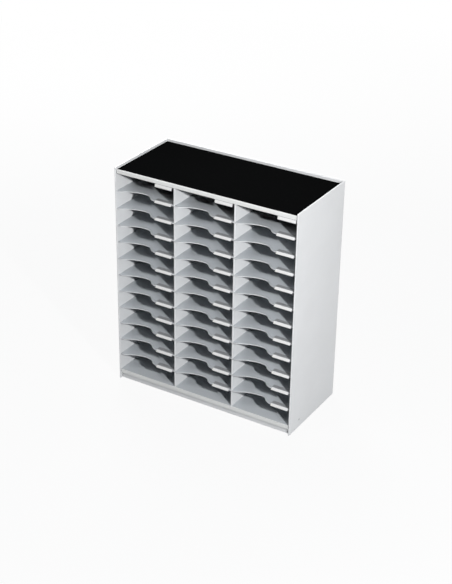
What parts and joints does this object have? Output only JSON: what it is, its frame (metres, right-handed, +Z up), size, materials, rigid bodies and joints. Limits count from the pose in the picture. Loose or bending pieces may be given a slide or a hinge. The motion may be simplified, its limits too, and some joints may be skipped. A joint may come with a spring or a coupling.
{
  "type": "pigeonhole mail sorter",
  "caption": "Free-standing pigeonhole mail sorter: grey moulded casing with a black lid, columns of slide-in shelves with a thumb scoop and a tilted label holder on each front edge.",
  "frame": {"origin": "on the ground under the middle of the casing", "axes": "+X to the right seen from the open front, +Y to the back, +Z up"},
  "size_m": [0.674, 0.308, 0.791],
  "materials": {
    "casing": "fine moulded texture, light cool grey",
    "shelf": "fine moulded texture, mid cool grey",
    "lid": "matt black, finely pebbled",
    "label_holder": "smooth, smoky grey",
    "label_paper": "plain white paper strip",
    "cover_cap": "plain moulded grey"
  },
  "bodies": {
    "casing": {"side_panel_left": "casing", "side_panel_right": "casing", "divider_1": "casing", "divider_2": "casing", "back_panel": "casing", "lid_panel": "lid", "floor_panel": "shelf", "top_rail": "casing", "bottom_rail": "casing", "plinth": "casing", "label_holder_left": "label_holder", "label_holder_middle": "label_holder", "label_holder_right": "label_holder"},
    "shelf_left_11": {"shelf_left_11": "shelf"},
    "shelf_left_10": {"shelf_left_10": "shelf"},
    "shelf_left_09": {"shelf_left_09": "shelf"},
    "shelf_left_08": {"shelf_left_08": "shelf"},
    "shelf_left_07": {"shelf_left_07": "shelf"},
    "shelf_left_06": {"shelf_left_06": "shelf"},
    "shelf_left_05": {"shelf_left_05": "shelf"},
    "shelf_left_04": {"shelf_left_04": "shelf"},
    "shelf_left_03": {"shelf_left_03": "shelf"},
    "shelf_left_02": {"shelf_left_02": "shelf"},
    "shelf_left_01": {"shelf_left_01": "shelf"},
    "shelf_middle_11": {"shelf_middle_11": "shelf"},
    "shelf_middle_10": {"shelf_middle_10": "shelf"},
    "shelf_middle_09": {"shelf_middle_09": "shelf"},
    "shelf_middle_08": {"shelf_middle_08": "shelf"},
    "shelf_middle_07": {"shelf_middle_07": "shelf"},
    "shelf_middle_06": {"shelf_middle_06": "shelf"},
    "shelf_middle_05": {"shelf_middle_05": "shelf"},
    "shelf_middle_04": {"shelf_middle_04": "shelf"},
    "shelf_middle_03": {"shelf_middle_03": "shelf"},
    "shelf_middle_02": {"shelf_middle_02": "shelf"},
    "shelf_middle_01": {"shelf_middle_01": "shelf"},
    "shelf_right_11": {"shelf_right_11": "shelf"},
    "shelf_right_10": {"shelf_right_10": "shelf"},
    "shelf_right_09": {"shelf_right_09": "shelf"},
    "shelf_right_08": {"shelf_right_08": "shelf"},
    "shelf_right_07": {"shelf_right_07": "shelf"},
    "shelf_right_06": {"shelf_right_06": "shelf"},
    "shelf_right_05": {"shelf_right_05": "shelf"},
    "shelf_right_04": {"shelf_right_04": "shelf"},
    "shelf_right_03": {"shelf_right_03": "shelf"},
    "shelf_right_02": {"shelf_right_02": "shelf"},
    "shelf_right_01": {"shelf_right_01": "shelf"}
  },
  "joints": [
    {"name": "shelf_left_11_slide", "type": "slide", "parent": "casing", "child": "shelf_left_11", "axis": [0, -1, 0], "range_m": [0, 0.305]},
    {"name": "shelf_left_10_slide", "type": "slide", "parent": "casing", "child": "shelf_left_10", "axis": [0, -1, 0], "range_m": [0, 0.305]},
    {"name": "shelf_left_09_slide", "type": "slide", "parent": "casing", "child": "shelf_left_09", "axis": [0, -1, 0], "range_m": [0, 0.305]},
    {"name": "shelf_left_08_slide", "type": "slide", "parent": "casing", "child": "shelf_left_08", "axis": [0, -1, 0], "range_m": [0, 0.305]},
    {"name": "shelf_left_07_slide", "type": "slide", "parent": "casing", "child": "shelf_left_07", "axis": [0, -1, 0], "range_m": [0, 0.305]},
    {"name": "shelf_left_06_slide", "type": "slide", "parent": "casing", "child": "shelf_left_06", "axis": [0, -1, 0], "range_m": [0, 0.305]},
    {"name": "shelf_left_05_slide", "type": "slide", "parent": "casing", "child": "shelf_left_05", "axis": [0, -1, 0], "range_m": [0, 0.305]},
    {"name": "shelf_left_04_slide", "type": "slide", "parent": "casing", "child": "shelf_left_04", "axis": [0, -1, 0], "range_m": [0, 0.305]},
    {"name": "shelf_left_03_slide", "type": "slide", "parent": "casing", "child": "shelf_left_03", "axis": [0, -1, 0], "range_m": [0, 0.305]},
    {"name": "shelf_left_02_slide", "type": "slide", "parent": "casing", "child": "shelf_left_02", "axis": [0, -1, 0], "range_m": [0, 0.305]},
    {"name": "shelf_left_01_slide", "type": "slide", "parent": "casing", "child": "shelf_left_01", "axis": [0, -1, 0], "range_m": [0, 0.305]},
    {"name": "shelf_middle_11_slide", "type": "slide", "parent": "casing", "child": "shelf_middle_11", "axis": [0, -1, 0], "range_m": [0, 0.305]},
    {"name": "shelf_middle_10_slide", "type": "slide", "parent": "casing", "child": "shelf_middle_10", "axis": [0, -1, 0], "range_m": [0, 0.305]},
    {"name": "shelf_middle_09_slide", "type": "slide", "parent": "casing", "child": "shelf_middle_09", "axis": [0, -1, 0], "range_m": [0, 0.305]},
    {"name": "shelf_middle_08_slide", "type": "slide", "parent": "casing", "child": "shelf_middle_08", "axis": [0, -1, 0], "range_m": [0, 0.305]},
    {"name": "shelf_middle_07_slide", "type": "slide", "parent": "casing", "child": "shelf_middle_07", "axis": [0, -1, 0], "range_m": [0, 0.305]},
    {"name": "shelf_middle_06_slide", "type": "slide", "parent": "casing", "child": "shelf_middle_06", "axis": [0, -1, 0], "range_m": [0, 0.305]},
    {"name": "shelf_middle_05_slide", "type": "slide", "parent": "casing", "child": "shelf_middle_05", "axis": [0, -1, 0], "range_m": [0, 0.305]},
    {"name": "shelf_middle_04_slide", "type": "slide", "parent": "casing", "child": "shelf_middle_04", "axis": [0, -1, 0], "range_m": [0, 0.305]},
    {"name": "shelf_middle_03_slide", "type": "slide", "parent": "casing", "child": "shelf_middle_03", "axis": [0, -1, 0], "range_m": [0, 0.305]},
    {"name": "shelf_middle_02_slide", "type": "slide", "parent": "casing", "child": "shelf_middle_02", "axis": [0, -1, 0], "range_m": [0, 0.305]},
    {"name": "shelf_middle_01_slide", "type": "slide", "parent": "casing", "child": "shelf_middle_01", "axis": [0, -1, 0], "range_m": [0, 0.305]},
    {"name": "shelf_right_11_slide", "type": "slide", "parent": "casing", "child": "shelf_right_11", "axis": [0, -1, 0], "range_m": [0, 0.305]},
    {"name": "shelf_right_10_slide", "type": "slide", "parent": "casing", "child": "shelf_right_10", "axis": [0, -1, 0], "range_m": [0, 0.305]},
    {"name": "shelf_right_09_slide", "type": "slide", "parent": "casing", "child": "shelf_right_09", "axis": [0, -1, 0], "range_m": [0, 0.305]},
    {"name": "shelf_right_08_slide", "type": "slide", "parent": "casing", "child": "shelf_right_08", "axis": [0, -1, 0], "range_m": [0, 0.305]},
    {"name": "shelf_right_07_slide", "type": "slide", "parent": "casing", "child": "shelf_right_07", "axis": [0, -1, 0], "range_m": [0, 0.305]},
    {"name": "shelf_right_06_slide", "type": "slide", "parent": "casing", "child": "shelf_right_06", "axis": [0, -1, 0], "range_m": [0, 0.305]},
    {"name": "shelf_right_05_slide", "type": "slide", "parent": "casing", "child": "shelf_right_05", "axis": [0, -1, 0], "range_m": [0, 0.305]},
    {"name": "shelf_right_04_slide", "type": "slide", "parent": "casing", "child": "shelf_right_04", "axis": [0, -1, 0], "range_m": [0, 0.305]},
    {"name": "shelf_right_03_slide", "type": "slide", "parent": "casing", "child": "shelf_right_03", "axis": [0, -1, 0], "range_m": [0, 0.305]},
    {"name": "shelf_right_02_slide", "type": "slide", "parent": "casing", "child": "shelf_right_02", "axis": [0, -1, 0], "range_m": [0, 0.305]},
    {"name": "shelf_right_01_slide", "type": "slide", "parent": "casing", "child": "shelf_right_01", "axis": [0, -1, 0], "range_m": [0, 0.305]}
  ]
}
